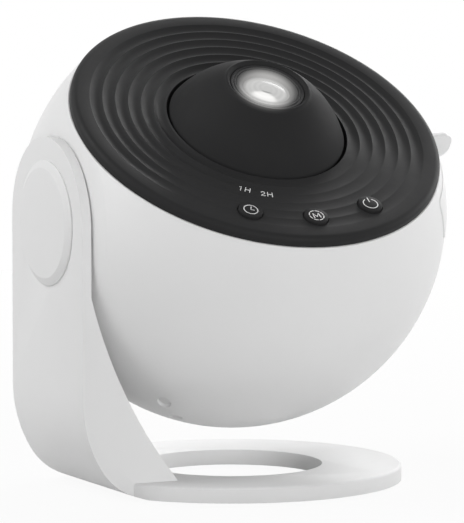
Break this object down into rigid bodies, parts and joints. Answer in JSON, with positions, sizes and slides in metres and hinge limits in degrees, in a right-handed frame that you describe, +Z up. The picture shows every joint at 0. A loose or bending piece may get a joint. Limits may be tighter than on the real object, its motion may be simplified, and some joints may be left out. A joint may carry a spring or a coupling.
{
  "type": "planetarium projector",
  "caption": "White globe projector tilting on a one-armed stand, with a rippled black top plate, focus cone, film tray and push buttons.",
  "frame": {"origin": "middle of the ring foot, on the table", "axes": "+Z up, the front with the buttons towards -Y, the arm on -X and the film tray's tab on +X"},
  "size_m": [0.1412, 0.1406, 0.15],
  "materials": {
    "white_shell": "satin white moulding",
    "white_stand": "satin white moulding",
    "plug_white": "satin white moulding",
    "foot_rubber": "matt rubber",
    "black_plate": "fine matt texture",
    "black_cone": "satin black",
    "button_black": "satin black",
    "barrel_black": "satin dark grey",
    "lens_glass": "clear",
    "lens_ring": "turned",
    "inner_black": "plain moulding",
    "tray_grey": "plain moulding",
    "gear_white": "natural moulding",
    "film": "printed film",
    "hub_grey": "plain moulding",
    "sink_metal": "brushed",
    "steel": "zinc plated",
    "pillar_brass": "turned",
    "board_green": "solder mask",
    "lamp_board_white": "white solder mask",
    "switch_black": "plain moulding",
    "light_dome": "clear silicone"
  },
  "bodies": {
    "stand": {"stand_frame": "white_stand", "base_pad": "foot_rubber", "pivot_cap": "white_stand"},
    "head": {"front_shell": "white_shell", "rear_shell": "white_shell", "screw_plugs": "plug_white", "top_plate": "black_plate", "lens_sleeve": "barrel_black", "condenser_lens": "lens_glass", "optics_deck": "inner_black", "lamp_deck": "inner_black", "lamp_tube": "inner_black", "front_runner": "inner_black", "rear_runner": "inner_black", "pivot_washer": "gear_white", "pivot_hub": "hub_grey", "heat_sink": "sink_metal", "chassis_plate": "sink_metal", "pivot_screw": "steel", "clamp_washer": "steel", "hub_screws": "steel", "chassis_screws": "steel", "deck_screws": "steel", "pillar_screws": "steel", "board_screws": "steel", "drive_motor": "steel", "power_socket": "steel", "deck_pillars": "pillar_brass", "button_board": "board_green", "power_board": "board_green", "lamp_board": "lamp_board_white", "tact_switches": "switch_black", "lamp_emitter": "light_dome", "timer_lights": "light_dome"},
    "focus_ring": {"focus_cone": "black_cone"},
    "lens": {"lens_barrel": "barrel_black", "front_lens": "lens_glass", "rear_lens": "lens_glass", "lens_retainer": "lens_ring"},
    "tray": {"film_tray": "tray_grey", "tray_door": "white_shell"},
    "film_disc": {"disc_ring": "gear_white", "film_slide": "film"},
    "pinion": {"drive_pinion": "gear_white", "motor_shaft": "steel"},
    "timer": {"timer_button": "button_black"},
    "mode": {"mode_button": "button_black"},
    "power": {"power_button": "button_black"}
  },
  "joints": [
    {"name": "head_tilt", "type": "hinge", "parent": "stand", "child": "head", "pos_m": [0, 0, 0.0877], "axis": [1, 0, 0], "range_deg": [-121.5, 58.5]},
    {"name": "focus_turn", "type": "hinge", "parent": "head", "child": "focus_ring", "pos_m": [0, 0, 0.0877], "axis": [0, -0.5225, 0.8526], "range_deg": [-45, 45]},
    {"name": "lens_slide", "type": "slide", "parent": "head", "child": "lens", "axis": [0, -0.5225, 0.8526], "range_m": [-0.001, 0.001]},
    {"name": "tray_slide", "type": "slide", "parent": "head", "child": "tray", "axis": [1, 0, 0], "range_m": [0, 0.1]},
    {"name": "disc_spin", "type": "hinge", "parent": "tray", "child": "film_disc", "pos_m": [0, 0, 0.0877], "axis": [0, -0.5225, 0.8526], "continuous": true},
    {"name": "pinion_spin", "type": "hinge", "parent": "head", "child": "pinion", "pos_m": [-0.03, 0, 0.0877], "axis": [0, -0.5225, 0.8526], "continuous": true},
    {"name": "timer_press", "type": "slide", "parent": "head", "child": "timer", "axis": [0, 0.5225, -0.8526], "range_m": [0, 0.0006], "stiffness_N_per_m": 800, "springref_m": -0.0005},
    {"name": "mode_press", "type": "slide", "parent": "head", "child": "mode", "axis": [0, 0.5225, -0.8526], "range_m": [0, 0.0006], "stiffness_N_per_m": 800, "springref_m": -0.0005},
    {"name": "power_press", "type": "slide", "parent": "head", "child": "power", "axis": [0, 0.5225, -0.8526], "range_m": [0, 0.0006], "stiffness_N_per_m": 800, "springref_m": -0.0005}
  ],
  "couplings": [
    {"joint": "lens_slide", "follows": "focus_turn", "m_per_rad": 0.00127},
    {"joint": "pinion_spin", "follows": "disc_spin", "ratio": -4}
  ]
}
